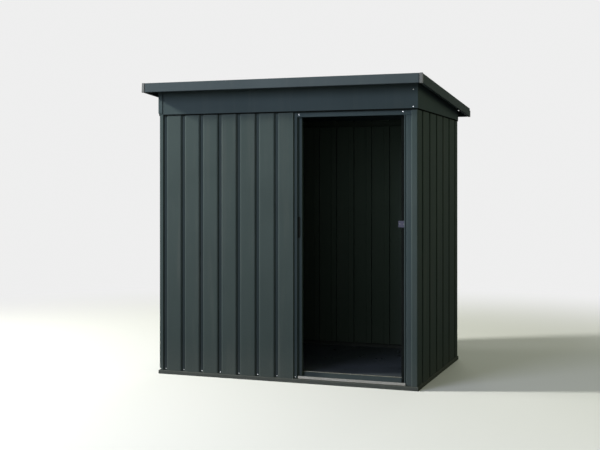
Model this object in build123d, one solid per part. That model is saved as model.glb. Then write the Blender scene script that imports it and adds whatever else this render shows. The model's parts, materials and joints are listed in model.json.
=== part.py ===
from build123d import *
import math
import os

os.makedirs("parts", exist_ok=True)

# All sizes are in millimetres. The front faces -Y, +Z is up, and the origin is on the ground
# in the middle of the walls. Each wall is drawn in a frame of its own: X runs along the wall,
# from left to right as seen from outside, and depth runs inward from the outer face.

# Walls
wall_w = 1820.0             # over the corner posts, along the front
wall_d = 1280.0             # over the corner posts, front to back
clad_top = 1800.0           # top of the wall sheets, behind the headers
sheet_t = 1.0
frame_t = 1.5               # folded frame members
trim_t = 1.2                # posts, stiles and trims
fit = 0.3                   # gap between pieces that are screwed together
bend = 1.5                  # inside radius of a folded edge
bend_share = 0.48           # most of a run that one rounded end may take
rib_depth = 14.0
rib_lean = 2.0              # how far each side of a groove leans
shoulder = 7.0              # sloping edge of the pan beside each groove
shoulder_d = 3.5
edge_lip = 9.0              # lip behind the front sheet's edge, beside the stile

# Grooves: width, place of the first one and pitch, on each wall
front_groove = 28.0
front_groove_first = 42.5
front_groove_pitch = 136.9
side_groove = 34.0
side_groove_first = 152.0
side_groove_pitch = 207.0
back_groove = 40.0
back_groove_first = 117.8
back_groove_pitch = 141.6

# Corner posts
post_left = 28.0            # front flange of the left post
post_right = 40.0           # front flange of the right post
post_side = 34.0            # every other flange
post_bend = 3.0
post_edge = 5.0             # slope along the right post's edge, beside the door jamb

# Doorway
stile_off = 74.0            # the stile's left edge, right of the wall's middle
stile_w = 23.0
frame_deep = 8.2            # depth of the door frame's pieces, from their recessed faces
frame_lap = 11.0            # how far the frame reaches behind the sheet and the post beside it
jamb_w = 49.0
jamb_edge = 7.0             # narrow raised edge beside the opening
jamb_back = 11.0            # lip at the back, which carries the lock keeper
jamb_slot = 6.0
jamb_slot_d = 4.5
jamb_slope = 5.0            # sloping side of the slot
lintel_h = 52.0             # frame's top rail, down from the top of the wall sheets

# Headers, between the wall sheets and the roof
header_lap = 13.0           # how far the headers hang over the wall sheets
header_lip = 30.0
header_stand = 4.0          # how far the headers stand off the walls
header_hem = 20.0           # folded foot of the side headers
cap_w = 25.0
cap_gap = 4.0               # open joint between the corner cap and the front header
cap_lift = 3.0              # how far the cap stands off the headers
cap_raise = 9.0             # from the foot of the header to the foot of its corner cap
cap_round = 8.0

# Base rails
base_out = 6.0              # how far the rail stands proud of the walls
base_h = 26.0
base_bevel = 4.0            # along the rail's upper edge
web_rise = 62.0             # from the rail's ledge to the top of its inner web
base_lip = 22.0
base_foot = 60.0
base_foot_front = 110.0
base_lip_front = 10.0
anchor_r = 4.5
anchor_end = 160.0          # from the wall's ends
anchor_in = 40.0            # from the wall's outer face

# Floor
floor_rise = 34.0           # from the base rail's ledge to the top of the floor
floor_t = 18.0
floor_panels = 3
floor_edge = 1.0            # chamfer round the top of each panel
joist_w = 40.0
joist_count = 5

# Roof
roof_side = 64.0            # overhangs
roof_front = 135.0
roof_back = 174.0
roof_rise = 195.0           # from the top of the wall sheets to the roof's front edge
roof_slope = 4.0            # degrees, down to the back
fascia_h = 62.0
fascia_lip = 18.0           # lips above and below, as wide as the corner caps
corner_t = 2.0
corner_proud = 1.0
corner_gap = 5.0            # open joint between a corner cap and the fascia
corner_sink = 5.0           # from the fascia's back to the cap's tongues
corner_plug = 16.0          # how far the cap's tongues reach into the fascia
roof_sheets = 3
roof_rib_h = 14.0
roof_rib = 36.0
roof_rib_pitch = 162.0
beam_h = 38.0
beam_w = 32.0
beam_count = 3

# Rails inside the top of the walls
top_rail_drop = 10.0        # below the top of the wall sheets
top_rail_h = 39.0
top_rail_w = 24.0
top_rail_w_front = 13.0

# Sliding door
door_lap = 43.0             # how much wider the leaf is than the opening
door_t = 25.0
door_gap = 14.0             # from the back of the door frame to the leaf
door_show = 25.0            # leaf left showing beside the stile when it is open
door_rise = 10.0            # from the base rail's ledge to the foot of the leaf
door_drop = 20.0            # top of the leaf, below the top of the wall sheets
door_stile = 34.0
door_rail = 30.0
door_groove = 24.0
door_groove_pitch = 136.9
door_rib_depth = 9.0
run_gap = 5.0               # least gap between what moves and what stands

# Door tracks
track_t = 1.5
track_front = 20.0          # heights of the track's two sides, above the base rail's ledge
track_back = 39.0
track_nose = 12.0
track_toe = 22.0
strip_in = 2.0              # threshold strip, behind the wall's outer face
strip_start = 10.0          # from the stile
strip_over = 10.0           # how far the strip runs past the jamb's edge
strip_rise = 20.0           # from the base rail's ledge to the top of the strip
strip_beads = 3
strip_bead = 0.8            # radius of the beads along the strip
strip_bead_pitch = 4.5
hang_rise = 6.0             # underside of the top track, above the wall sheets
hang_h = 44.0
hang_half = 23.0
hang_slot = 16.0
hang_flange = 40.0

# Hangers and rollers
hanger_in = 110.0           # from each end of the leaf
hanger_w = 70.0
hanger_t = 4.0
hanger_foot = 3.0
roller_r = 11.0
roller_w = 8.0
roller_hub_r = 7.0
axle_r = 4.0
guide_w = 60.0
guide_h = 6.0
guide_edge = 2.5

# Door handle and lock keeper
handle_w = 34.0
handle_h = 137.0
handle_d = 6.7
handle_in = 12.0            # from the leaf's leading edge
handle_z = 954.0
handle_rim = 5.0
handle_edge = 1.5
keeper_z = 1030.0
keeper_h = 42.0
keeper_reach = 51.0         # past the jamb's edge, into the opening
keeper_t = 2.0

# Worked out from the sizes above
slope = math.radians(roof_slope)
clear = bend / 2 + fit / 2  # gap that keeps an edge off the round inside a fold
wall_foot = base_h + clear
base_web = base_h + web_rise
floor_top = base_h + floor_rise
door_bottom = base_h + door_rise
track_front_z = base_h + track_front
track_back_z = base_h + track_back
strip_top = base_h + strip_rise
stile_x = wall_w / 2 + stile_off
opening_x = stile_x + stile_w
jamb_x = wall_w - post_right - jamb_w
door_w = jamb_x - opening_x + door_lap
header_z = clad_top - header_lap
header_split = cap_w + cap_gap
cap_z = header_z + cap_raise
lintel_z = clad_top - lintel_h
top_rail_z = clad_top - top_rail_drop - top_rail_h
door_top = clad_top - door_drop
hang_z = clad_top + hang_rise
roof_top = clad_top + roof_rise
wall_inner = rib_depth + sheet_t
rail_face = wall_inner + fit
frame_in = rail_face - fit - trim_t
frame_d = frame_in + frame_deep
door_y = frame_d + door_gap
door_back = door_y + door_t
door_mid = door_y + door_t / 2
door_lead = opening_x + door_show
door_tail = door_lead - door_w
roof_w = wall_w + 2 * roof_side
roof_run = wall_d + roof_front + roof_back
roof_l = roof_run / math.cos(slope)
roof_sheet_z = roof_rib_h + sheet_t + trim_t + fit
roof_y = -wall_d / 2 - roof_front
roof_at = Location((0, roof_y, roof_top), (-roof_slope, 0, 0))

SIDES = {
    "front": (Location((-wall_w / 2, -wall_d / 2, 0), (0, 0, 0)), wall_w),
    "right": (Location((wall_w / 2, -wall_d / 2, 0), (0, 0, 90)), wall_d),
    "back": (Location((wall_w / 2, wall_d / 2, 0), (0, 0, 180)), wall_w),
    "left": (Location((-wall_w / 2, wall_d / 2, 0), (0, 0, 270)), wall_d),
}


def save(name, shape):
    """Write one piece, moved to its place, as a file of its own."""
    shape.label = name
    export_step(shape, f"parts/{name}.step")


def place(side, shape):
    """Move a piece from a wall's own frame to its place on the building."""
    return SIDES[side][0] * shape


def other_face(points, thickness):
    """Corners of a sheet's second face, which lies to the left of the first one."""
    runs = [(b - a).normalized() for a, b in zip(points, points[1:])]
    normals = [Vector(-run.Y, run.X) for run in runs]
    corners = []
    for point, before, after in zip(points, normals[:1] + normals, normals + normals[-1:]):
        corners.append(point + (before + after) * (thickness / (1 + before.dot(after))))
    return corners


def rolled(path, thickness):
    """Section of a sheet with crisp corners: one face follows the path, the sheet lies to its left."""
    points = [Vector(u, v) for u, v in path]
    return make_face(Polyline(*points, *reversed(other_face(points, thickness)), close=True))


def rounded(points, radii):
    """Line through points with round corners, each no larger than its two runs leave room for."""
    free = [(b - a).length * bend_share for a, b in zip(points, points[1:])]
    free[0] *= 2
    free[-1] *= 2
    fitted = []
    for i, radius in enumerate(radii):
        turn = (points[i + 1] - points[i]).get_angle(points[i + 2] - points[i + 1])
        fitted.append(min(radius, min(free[i], free[i + 1]) / math.tan(math.radians(turn / 2))))
    return FilletPolyline(*points, radius=fitted)


def folded(path, thickness, inside=bend):
    """Section of a folded sheet with round bends, laid to the left of its path as above."""
    points = [Vector(u, v) for u, v in path]
    runs = [(b - a).normalized() for a, b in zip(points, points[1:])]
    near = []
    far = []
    for before, after in zip(runs, runs[1:]):
        towards = before.cross(after).Z * thickness > 0
        near.append(inside + abs(thickness) if towards else inside)
        far.append(inside if towards else inside + abs(thickness))
    face = rounded(points, near)
    back = rounded(other_face(points, thickness), far)
    ends = [Line(face @ 0, back @ 0), Line(face @ 1, back @ 1)]
    return make_face([*face.edges(), *back.edges(), *ends])


def along(section, x0, x1):
    """Run a section, drawn in depth and height, along a wall."""
    plane = Plane((x0, 0, 0), x_dir=(0, 1, 0), z_dir=(1, 0, 0))
    return extrude(plane * section, x1 - x0)


def upright(section, z0, z1):
    """Stand a section, drawn in plan, between two heights."""
    return extrude(Pos(0, 0, z0) * section, z1 - z0)


def box(x0, x1, y0, y1, z0, z1):
    """Box between two corners."""
    return Pos(x0, y0, z0) * Box(x1 - x0, y1 - y0, z1 - z0, align=(Align.MIN,) * 3)


def grooves(first, pitch, width, end):
    """Middle of each groove from the first one, as many as fit before the end."""
    count = int((end - width / 2 - shoulder - first) // pitch) + 1
    return [first + i * pitch for i in range(count)]


def ribbed(x0, x1, centres, width, depth, lean):
    """Path across a ribbed sheet: flat pans with sloping shoulders, and a groove at each centre."""
    path = [(x0, 0)]
    for c in centres:
        half = width / 2
        path += [
            (c - half - shoulder, 0),
            (c - half, shoulder_d),
            (c - half + lean, depth),
            (c + half - lean, depth),
            (c + half, shoulder_d),
            (c + half + shoulder, 0),
        ]
    return path + [(x1, 0)]


def mitre(side, piece):
    """Cut a rail's ends at 45 degrees, where it meets its neighbours."""
    length = SIDES[side][1]
    deep = base_foot_front + base_out
    start = -base_out + fit / 2
    wedge = Polyline(
        (start, -base_out),
        (length - start, -base_out),
        (length - start - deep, deep - base_out),
        (start + deep, deep - base_out),
        close=True,
    )
    return piece & upright(make_face(wedge), 0, base_web)


def roof_z(y, below=0.0):
    """Height of the roof's top plane at y, or of a plane that far below it."""
    return roof_top - (y - roof_y) * math.tan(slope) - below / math.cos(slope)


# Base rails
def rail_section(web, lip, foot):
    """Base rail: bevelled proud face, ledge for the wall sheets, inner web and foot."""
    return rolled(
        [
            (rail_face + lip, web),
            (rail_face, web),
            (rail_face, base_h),
            (base_bevel - base_out, base_h),
            (-base_out, base_h - base_bevel),
            (-base_out, 0),
            (foot, 0),
        ],
        frame_t,
    )


door_rail_x = opening_x - trim_t - clear
door_sill = rolled(
    [
        (rail_face + frame_t, base_h / 2),
        (rail_face + frame_t, base_h),
        (base_bevel - base_out, base_h),
        (-base_out, base_h - base_bevel),
        (-base_out, 0),
        (base_foot_front, 0),
    ],
    frame_t,
)


def anchors(side, piece):
    """Drill the anchor holes of one wall through the foot of its base rail."""
    for x in (anchor_end, wall_w - anchor_end):
        piece -= Pos(x, anchor_in, 0) * Cylinder(anchor_r, 4 * frame_t)
    return place(side, piece)


front_rail = rail_section(base_web, base_lip_front, base_foot_front)
end = wall_w + base_out
save("base_rail_front", anchors("front", mitre("front", along(front_rail, -base_out, door_rail_x - fit))))
save("base_rail_door", anchors("front", mitre("front", along(door_sill, door_rail_x, end))))
save("base_rail_back", anchors("back", mitre("back", along(
    rail_section(base_web, base_lip, base_foot), -base_out, end))))
for side in ("left", "right"):
    rail = along(rail_section(base_web, base_lip, base_foot), -base_out, wall_d + base_out)
    save(f"base_rail_{side}", place(side, mitre(side, rail)))

# Threshold strip and the track that the door's foot runs in
strip = folded(
    [
        (strip_in, strip_top),
        (strip_in, base_h + fit),
        (rail_face + frame_t, base_h + fit),
    ],
    track_t,
)
for i in range(strip_beads):
    strip += Pos(strip_in, strip_top - (i + 1) * strip_bead_pitch) * Circle(strip_bead)
save("threshold_strip", place("front", along(strip, opening_x + strip_start, jamb_x + strip_over)))

track_in = door_y - run_gap
track_out = door_back + run_gap
track_z = base_h + fit
trough = folded(
    [
        (track_in - track_t, track_front_z),
        (track_in - track_t, track_z),
        (track_out + track_t, track_z),
        (track_out + track_t, track_back_z - track_t),
        (track_out + track_nose, track_back_z - track_t),
    ],
    track_t,
)
shelf = Pos(rail_face + frame_t + fit, track_z) * Rectangle(
    track_in - rail_face - frame_t - fit, track_t, align=(Align.MIN, Align.MIN))
leg = folded(
    [
        (track_out, track_z + track_t),
        (track_out, frame_t + fit),
        (track_out + track_toe, frame_t + fit),
    ],
    track_t,
)
save("door_bottom_track", place("front", along(trough + shelf + leg, rail_face + frame_t + fit,
                                               wall_w - rail_face - frame_t - fit)))

# Floor: joists that stand on the rails' feet, and panels across them
floor_x = wall_w / 2 - rail_face - frame_t - fit
joist_z = frame_t + fit
joist_h = floor_top - floor_t - fit - joist_z
joist_y0 = -wall_d / 2 + track_out + track_toe + fit
joist_y1 = wall_d / 2 - rail_face - frame_t - fit
joist_section = rolled(
    [
        (joist_w, joist_h),
        (0, joist_h),
        (0, 0),
        (joist_w, 0),
    ],
    frame_t,
)
joist_plane = Plane((0, joist_y1, 0), x_dir=(1, 0, 0), z_dir=(0, -1, 0))
joist = extrude(joist_plane * joist_section, joist_y1 - joist_y0)
joist_step = (2 * floor_x - joist_w) / (joist_count - 1)
joists = [Pos(-floor_x + i * joist_step, 0, joist_z) * joist for i in range(joist_count)]
save("floor_joists", Compound(joists))

floor_y0 = -wall_d / 2 + track_out + track_t + fit
panel_d = (joist_y1 - floor_y0 + fit) / floor_panels
panels = []
for i in range(floor_panels):
    y = floor_y0 + i * panel_d
    panel = box(-floor_x, floor_x, y, y + panel_d - fit, floor_top - floor_t, floor_top)
    panels.append(chamfer(panel.edges().group_by(Axis.Z)[-1], floor_edge))
save("floor_panels", Compound(panels))

# Corner posts
def post(side, first, edge, top):
    """L-shaped post at the left end of a wall, with its edges turned in.

    The edge is the path that its second flange ends with.
    """
    section = folded([*edge, (0, 0), (first, 0), (first, rib_depth)], trim_t, post_bend)
    return place(side, upright(section, wall_foot, top))


post_drop = roof_sheet_z + 2 * frame_t + 2 * fit
front_post_top = roof_z(-wall_d / 2 + post_right, post_drop)
back_post_top = roof_z(wall_d / 2, post_drop)
plain_edge = [(rib_depth, post_side), (0, post_side)]
jamb_side = [(frame_in - fit, post_right), (post_edge, post_right), (0, post_right - post_edge)]
save("corner_post_front_left", post("front", post_left, plain_edge, front_post_top))
save("corner_post_front_right", post("right", post_side, jamb_side, front_post_top))
save("corner_post_back_right", post("back", post_side, plain_edge, back_post_top))
save("corner_post_back_left", post("left", post_side, plain_edge, back_post_top))

# Wall sheets
def wall_sheet(side, path):
    """Ribbed sheet that stands on the base rail's ledge."""
    return place(side, upright(rolled(path, sheet_t), wall_foot, clad_top))


front_centres = grooves(front_groove_first + front_groove_pitch, front_groove_pitch, front_groove, stile_x)
first_side = front_groove_first + front_groove / 2 + shoulder
first_floor = first_side - shoulder - rib_lean
first_groove = [
    (post_left + fit, rib_depth),
    (first_floor, rib_depth),
    (first_floor + rib_lean, shoulder_d),
]
sheet_end = stile_x - fit
front_pans = ribbed(first_side, sheet_end, front_centres, front_groove, rib_depth, rib_lean)
turned_edge = [(sheet_end, frame_in - fit), (sheet_end - edge_lip, frame_in - fit)]
save("front_wall", wall_sheet("front", first_groove + front_pans + turned_edge))
side_centres = grooves(side_groove_first, side_groove_pitch, side_groove, wall_d - post_side)
back_centres = grooves(back_groove_first, back_groove_pitch, back_groove, wall_w - post_side)
save("right_wall", wall_sheet("right", ribbed(
    post_side + fit, wall_d - post_side - fit, side_centres, side_groove, rib_depth, rib_lean)))
save("left_wall", wall_sheet("left", ribbed(
    post_side + fit, wall_d - post_side - fit, [wall_d - c for c in reversed(side_centres)],
    side_groove, rib_depth, rib_lean)))
save("back_wall", wall_sheet("back", ribbed(
    post_side + fit, wall_w - post_side - fit, back_centres, back_groove, rib_depth, rib_lean)))

# Rails inside the top of the walls
def top_rail(side, x0, x1, width):
    """Channel behind the top of a wall's ribs."""
    top = top_rail_z + top_rail_h
    section = rolled(
        [
            (rail_face + width, top),
            (rail_face, top),
            (rail_face, top_rail_z),
            (rail_face + width, top_rail_z),
        ],
        frame_t,
    )
    return place(side, along(section, x0, x1))


rail_end = rail_face + top_rail_w + fit
save("top_rails", Compound([
    top_rail("front", rail_face, stile_x - fit, top_rail_w_front),
    top_rail("back", rail_face, wall_w - rail_face, top_rail_w),
    top_rail("left", rail_end, wall_d - rail_end, top_rail_w),
    top_rail("right", rail_end, wall_d - rail_end, top_rail_w),
]))

# Door frame
frame_foot = base_h + fit + track_t + fit
slot_x = jamb_x + jamb_edge
slot_y = frame_in + jamb_slot_d
frame_stile = folded(
    [
        (stile_x - frame_lap, frame_in),
        (opening_x, frame_in),
        (opening_x, frame_d),
    ],
    trim_t,
)
save("door_frame_stile", place("front", upright(frame_stile, frame_foot, clad_top)))
jamb = folded(
    [
        (jamb_x + jamb_back, frame_d),
        (jamb_x, frame_d),
        (jamb_x, frame_in),
        (slot_x, frame_in),
        (slot_x, slot_y),
        (slot_x + jamb_slot, slot_y),
        (slot_x + jamb_slot + jamb_slope, frame_in),
        (jamb_x + jamb_w + frame_lap, frame_in),
    ],
    trim_t,
)
save("door_jamb", place("front", upright(jamb, frame_foot, lintel_z - fit)))
lintel = folded(
    [
        (frame_d, clad_top),
        (frame_in, clad_top),
        (frame_in, lintel_z),
        (frame_d, lintel_z),
    ],
    trim_t,
)
lintel_end = jamb_x + jamb_w + frame_lap
save("door_frame_top_rail", place("front", along(lintel, opening_x + fit, lintel_end)))

# Headers, cut to the roof's slope, with a folded foot
header_back = frame_t - header_stand
for side, start in (("front", header_split), ("back", -header_stand)):
    out = 1 if side == "front" else -1
    ys = [out * (v - wall_d / 2) for v in (header_lip, -header_stand)]
    section = folded(
        [
            (header_lip, roof_z(ys[0], roof_sheet_z + fit)),
            (-header_stand, roof_z(ys[1], roof_sheet_z + fit)),
            (-header_stand, header_z),
            (-fit, header_z),
        ],
        frame_t,
    )
    header = along(section, start, wall_w + header_stand)
    for x in (-header_stand, wall_w):
        header -= box(x, x + header_stand, header_back, header_lip, header_z, roof_top)
    save(f"header_{side}", place(side, header))


def side_header(side, turn):
    """Header of a side wall, between the front and back headers."""
    def top_at(x, below=0.0):
        return roof_z(turn * (x - wall_d / 2), roof_sheet_z + fit + below)
    x0 = header_back + fit
    x1 = wall_d - x0
    foot_top = header_z + header_hem
    plate = Polyline((x0, foot_top), (x1, foot_top), (x1, top_at(x1)), (x0, top_at(x0)), close=True)
    header = extrude(Plane.XZ.offset(-header_back) * make_face(plate), frame_t)
    lip_in = header_lip + 2 * fit
    lip_out = wall_d - lip_in
    lip = Polyline(
        (lip_in, top_at(lip_in)),
        (lip_out, top_at(lip_out)),
        (lip_out, top_at(lip_out, frame_t)),
        (lip_in, top_at(lip_in, frame_t)),
        close=True,
    )
    header += extrude(Plane.XZ.offset(header_stand) * make_face(lip), -header_stand - header_lip)
    foot = folded([(-header_stand, foot_top), (-header_stand, header_z), (-fit, header_z)], frame_t)
    return place(side, header + along(foot, x0, x1))


save("header_right", side_header("right", 1))
save("header_left", side_header("left", -1))

cap_face = -header_stand - cap_lift
cap = folded(
    [
        (-header_stand - fit, cap_w),
        (cap_face, cap_w),
        (cap_face, cap_face),
        (cap_w, cap_face),
        (cap_w, -header_stand - fit),
    ],
    trim_t,
)
cap = upright(cap, cap_z, roof_z(-wall_d / 2 + cap_w, roof_sheet_z + 2 * fit))
nose = Pos(cap_w - cap_round, 0, cap_z + cap_round) * Rot(90, 0, 0) * Cylinder(cap_round, 4 * cap_round)
cap -= box(cap_w - cap_round, cap_w, cap_face, cap_round, cap_z, cap_z + cap_round) - nose
save("header_corner_cap", place("front", cap))

# Roof, drawn flat: X across, Y down the slope from the front edge, Z = 0 at the top
roof_edge = roof_w / 2
sheet_in = trim_t + clear
sheet_x = roof_edge - sheet_in
sheet_w = (2 * sheet_x + fit) / roof_sheets
rib_count = int((2 * sheet_x - roof_rib) // roof_rib_pitch)
rib_first = -rib_count * roof_rib_pitch / 2
roof_ribs = [rib_first + i * roof_rib_pitch for i in range(rib_count + 1)]
for i, name in enumerate(["left", "middle", "right"][:roof_sheets]):
    x0 = -sheet_x + i * sheet_w
    x1 = x0 + sheet_w - fit
    half = roof_rib / 2 + shoulder
    inside = [c for c in roof_ribs if x0 + half < c < x1 - half]
    path = ribbed(x0, x1, inside, roof_rib, roof_rib_h, rib_lean)
    section = Pos(0, -roof_sheet_z) * rolled(path, sheet_t)
    start = Plane((0, roof_l, 0), x_dir=(1, 0, 0), z_dir=(0, -1, 0))
    save(f"roof_sheet_{name}", roof_at * extrude(start * section, roof_l - sheet_in))

fascia = folded(
    [
        (fascia_lip, 0),
        (0, 0),
        (0, -fascia_h),
        (fascia_lip, -fascia_h),
    ],
    trim_t,
)
low = roof_sheet_z + fit
fascia_low = folded(
    [
        (fascia_lip, -low),
        (0, -low),
        (0, -fascia_h),
        (fascia_lip, -fascia_h),
    ],
    trim_t,
)
corner_in = fascia_lip + corner_gap
run_front = along(fascia, -roof_edge + corner_in, roof_edge - corner_in)
save("roof_fascia_front", roof_at * run_front)
run_back = along(fascia_low, -roof_edge + corner_in, roof_edge - corner_in)
save("roof_fascia_back", roof_at * Pos(0, roof_l, 0) * Rot(0, 0, 180) * run_back)
run_side = along(fascia, corner_in, roof_l - corner_in)
save("roof_fascia_right", roof_at * Pos(roof_edge, 0, 0) * Rot(0, 0, 90) * run_side)
save("roof_fascia_left", roof_at * Pos(-roof_edge, roof_l, 0) * Rot(0, 0, 270) * run_side)


def tongues(foot, head):
    """Two tongues of a corner cap, one behind each fascia, between two heights."""
    seat = trim_t + corner_sink
    tongue = box(0, corner_in + corner_plug, seat, seat + corner_t, foot, head)
    tongue += box(0, fascia_lip, 0, seat + corner_t, foot, head)
    return tongue + mirror(tongue, Plane((0, 0, 0), x_dir=(0, 0, 1), z_dir=(1, -1, 0)))


def roof_corner(top):
    """Moulded cap over one corner of the fascia, with tongues below the roof sheets."""
    shell = box(-corner_proud, fascia_lip, -corner_proud, fascia_lip, -fascia_h - corner_proud, top)
    outer = shell.edges().filter_by(Axis.Z).sort_by(lambda edge: edge.center().X + edge.center().Y)[0]
    shell = fillet(outer, corner_t)
    inner = corner_t - corner_proud
    shell -= box(inner, fascia_lip, inner, fascia_lip, -fascia_h, top - corner_t)
    return shell + tongues(-fascia_h + trim_t + clear, -low - trim_t - clear)


full = roof_corner(corner_proud) + tongues(-roof_sheet_z + sheet_t + fit, -trim_t - clear)
short = roof_corner(-low)
save("roof_corners", Compound([
    roof_at * Pos(-roof_edge, 0, 0) * full,
    roof_at * Pos(roof_edge, 0, 0) * Rot(0, 0, 90) * full,
    roof_at * Pos(roof_edge, roof_l, 0) * Rot(0, 0, 180) * short,
    roof_at * Pos(-roof_edge, roof_l, 0) * Rot(0, 0, 270) * short,
]))

beam_top = roof_sheet_z + fit + frame_t + fit
beam_section = rolled(
    [
        (beam_w, -beam_top),
        (0, -beam_top),
        (0, -beam_top - beam_h),
        (beam_w, -beam_top - beam_h),
    ],
    frame_t,
)
beam_x = wall_w / 2
beam_room = wall_d - 2 * post_right - beam_w - 2 * run_gap
beams = []
for i in range(beam_count):
    y = roof_front + post_right + run_gap + i * beam_room / (beam_count - 1)
    beams.append(roof_at * Pos(0, y / math.cos(slope), 0) * along(beam_section, -beam_x, beam_x))
save("roof_beams", Compound(beams))

# Top track, open below, hung from the front header
lip_w = hang_half - hang_slot / 2
hang_section = rolled(
    [
        (door_mid - hang_slot / 2, hang_z),
        (door_mid - hang_half - track_t, hang_z),
        (door_mid - hang_half - track_t, hang_z + hang_h),
        (door_mid + hang_half + track_t, hang_z + hang_h),
        (door_mid + hang_half + track_t, hang_z),
        (door_mid + hang_slot / 2, hang_z),
    ],
    -track_t,
)
flange_x0 = post_left + run_gap
flange_x1 = wall_w - post_right - run_gap
flange = rolled(
    [
        (door_mid, hang_z + hang_h - track_t),
        (header_back + fit, hang_z + hang_h - track_t),
        (header_back + fit, hang_z + hang_h + hang_flange),
    ],
    -track_t,
)
hang_end = wall_inner + fit
top_track = along(hang_section, hang_end, wall_w - hang_end) + along(flange, flange_x0, flange_x1)
save("door_top_track", place("front", top_track))

# Lock keeper, on the back of the jamb
keeper_x = jamb_x + jamb_back - keeper_t
keeper_y = door_back + run_gap
keeper = folded(
    [
        (keeper_x + keeper_t, frame_d + fit),
        (keeper_x + keeper_t, keeper_y + keeper_t),
        (jamb_x - keeper_reach, keeper_y + keeper_t),
    ],
    keeper_t,
)
save("lock_keeper", place("front", upright(keeper, keeper_z, keeper_z + keeper_h)))

# Sliding door leaf, drawn where it stands when open
def leaf(shape):
    """Move a piece of the leaf to its place."""
    return place("front", shape)


lead = folded(
    [
        (door_lead - door_stile, door_y),
        (door_lead, door_y),
        (door_lead, door_back),
        (door_lead - door_stile, door_back),
    ],
    trim_t,
)
tail = folded(
    [
        (door_tail + door_stile, door_back),
        (door_tail, door_back),
        (door_tail, door_y),
        (door_tail + door_stile, door_y),
    ],
    trim_t,
)
save("door_stile_leading", leaf(upright(lead, door_bottom, door_top)))
save("door_stile_trailing", leaf(upright(tail, door_bottom, door_top)))
rail_x0 = door_tail + door_stile + fit
rail_x1 = door_lead - door_stile - fit
foot_rail = folded(
    [
        (door_y, door_bottom + door_rail),
        (door_y, door_bottom),
        (door_back, door_bottom),
        (door_back, door_bottom + door_rail),
    ],
    trim_t,
)
head_rail = folded(
    [
        (door_back, door_top - door_rail),
        (door_back, door_top),
        (door_y, door_top),
        (door_y, door_top - door_rail),
    ],
    trim_t,
)
save("door_rails", leaf(Compound([along(section, rail_x0, rail_x1) for section in (foot_rail, head_rail)])))
panel_x0 = door_tail + trim_t + clear
panel_x1 = door_lead - trim_t - clear
first_centre = door_tail + door_stile + door_groove
door_centres = grooves(first_centre, door_groove_pitch, door_groove, door_lead - door_stile)
panel = rolled(ribbed(panel_x0, panel_x1, door_centres, door_groove, door_rib_depth, rib_lean), sheet_t)
panel = Pos(0, door_y + trim_t + fit) * panel
save("door_panel", leaf(upright(panel, door_bottom + trim_t + clear, door_top - trim_t - clear)))

# Hangers, rollers and guides
roller_z = hang_z + track_t + fit + roller_r
roller_y = hang_slot / 2 + fit + (lip_w - roller_w) / 2
hangers = []
rollers = []
guides = []
for x in (door_tail + hanger_in, door_lead - hanger_in):
    foot = box(x - hanger_w / 2, x + hanger_w / 2, door_y + fit, door_back - fit,
               door_top + fit, door_top + fit + hanger_foot)
    plate = box(x - hanger_w / 4, x + hanger_w / 4, door_mid - hanger_t / 2, door_mid + hanger_t / 2,
                door_top + fit, roller_z + roller_r)
    plate = fillet(plate.edges().filter_by(Axis.Y).group_by(Axis.Z)[-1], hanger_w / 8)
    hole = Pos(x, door_mid, roller_z) * Rot(90, 0, 0) * Cylinder(axle_r + fit, 2 * hanger_t)
    hangers.append(foot + plate - hole)
    half = roller_y + roller_w
    axle = Cylinder(axle_r, 2 * half)
    for way in (1, -1):
        hub = (half + hanger_t / 2 + fit) / 2
        axle += Pos(0, 0, way * hub) * Cylinder(roller_hub_r, half - hanger_t / 2 - fit)
        wheel = Cylinder(roller_r, roller_w)
        axle += Pos(0, 0, way * (roller_y + roller_w / 2)) * wheel
    rollers.append(Pos(x, door_mid, roller_z) * Rot(90, 0, 0) * axle)
    guide = box(x - guide_w / 2, x + guide_w / 2, door_y, door_back,
                door_bottom - fit - guide_h, door_bottom - fit)
    guides.append(chamfer(guide.edges().group_by(Axis.Z)[0], guide_edge))
save("door_hangers", leaf(Compound(hangers)))
save("door_rollers", leaf(Compound(rollers)))
save("door_guides", leaf(Compound(guides)))

# Pull handle, a shallow cup on the leading stile
grip_x1 = door_lead - handle_in
grip_x0 = grip_x1 - handle_w
grip = box(grip_x0, grip_x1, door_y - fit - handle_d, door_y - fit, handle_z, handle_z + handle_h)
grip = fillet(grip.edges().filter_by(Axis.Y), handle_rim)
grip = chamfer(grip.faces().sort_by(Axis.Y)[0].edges(), handle_edge)
grip -= box(grip_x0 + handle_rim, grip_x1 - handle_rim, door_y - fit - handle_d, door_y - fit - trim_t,
            handle_z + handle_rim, handle_z + handle_h - handle_rim)
save("door_handle", leaf(grip))
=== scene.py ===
"""Dresses a metal tool shed: coated sheets, bare metal, fasteners, seals, stage and light."""
import json
import logging
import math
from dataclasses import dataclass, field, fields
from enum import Enum
from functools import cache

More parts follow.
